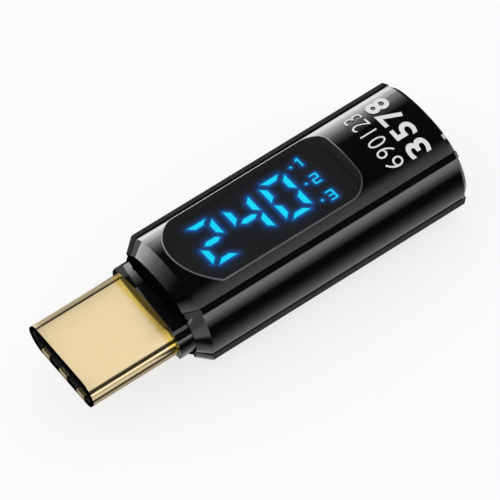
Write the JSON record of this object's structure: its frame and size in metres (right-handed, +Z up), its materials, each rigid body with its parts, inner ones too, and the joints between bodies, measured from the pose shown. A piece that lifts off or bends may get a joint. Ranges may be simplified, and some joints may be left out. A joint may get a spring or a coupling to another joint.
{
  "type": "usb power meter",
  "caption": "Straight USB-C plug-to-socket adapter with a black crowned barrel and a windowed numeric display that shows the power passing through.",
  "frame": {"origin": "centre of the bounding box's bottom, on the line that the barrel's lower crown rests on", "axes": "+X along the length from the plug's tip towards the socket's mouth, +Y across, +Z up out of the display window"},
  "size_m": [0.0312, 0.0102, 0.0079],
  "materials": {
    "black_plating": "mirror-gloss black plating",
    "rear_plastic": "gloss black moulding",
    "smoked_window": "polished dark smoked acrylic",
    "bright_rim": "polished silver line",
    "display_mask": "matt black display face",
    "lit_segment": "translucent cyan light guide",
    "inner_plastic": "matt black moulding",
    "circuit_board": "green solder mask",
    "chip_resin": "matt epoxy package",
    "ferrite": "dull ferrite",
    "resistor_film": "coated metal film",
    "ceramic": "fired ceramic",
    "gold_plating": "polished pale gold plating",
    "plug_plastic": "fine matt black moulding",
    "spring_bronze": "tan spring metal",
    "steel": "bright stainless steel"
  },
  "bodies": {
    "adapter": {"housing_sleeve": "black_plating", "front_collar": "black_plating", "rear_frame": "rear_plastic", "display_window": "smoked_window", "window_rim": "bright_rim", "led_display": "display_mask", "digit_segments": "lit_segment", "unit_lamps": "lit_segment", "display_frame": "inner_plastic", "main_board": "circuit_board", "chassis_tray": "inner_plastic", "controller_chip": "chip_resin", "meter_chip": "chip_resin", "identity_chip": "chip_resin", "power_inductor": "ferrite", "shunt_resistor": "resistor_film", "upper_capacitors": "ceramic", "lower_capacitors": "ceramic", "display_pins": "gold_plating", "plug_shell": "gold_plating", "plug_core": "plug_plastic", "plug_shield_upper": "spring_bronze", "plug_shield_lower": "spring_bronze", "plug_contacts_upper": "gold_plating", "plug_contacts_lower": "gold_plating", "plug_ground_plate": "steel", "socket_shell": "steel", "socket_tongue": "plug_plastic", "socket_contacts_upper": "gold_plating", "socket_contacts_lower": "gold_plating", "socket_ground_plate": "steel"},
    "latch_left": {"latch_left": "steel"},
    "latch_right": {"latch_right": "steel"}
  },
  "joints": [
    {"name": "latch_left_flex", "type": "hinge", "parent": "adapter", "child": "latch_left", "pos_m": [-0.0088, -0.00346, 0.00393], "axis": [0, 0, 1], "range_deg": [0, 2.2], "stiffness_Nm_per_rad": 0.01},
    {"name": "latch_right_flex", "type": "hinge", "parent": "adapter", "child": "latch_right", "pos_m": [-0.0088, 0.00346, 0.00393], "axis": [0, 0, -1], "range_deg": [0, 2.2], "stiffness_Nm_per_rad": 0.01}
  ]
}
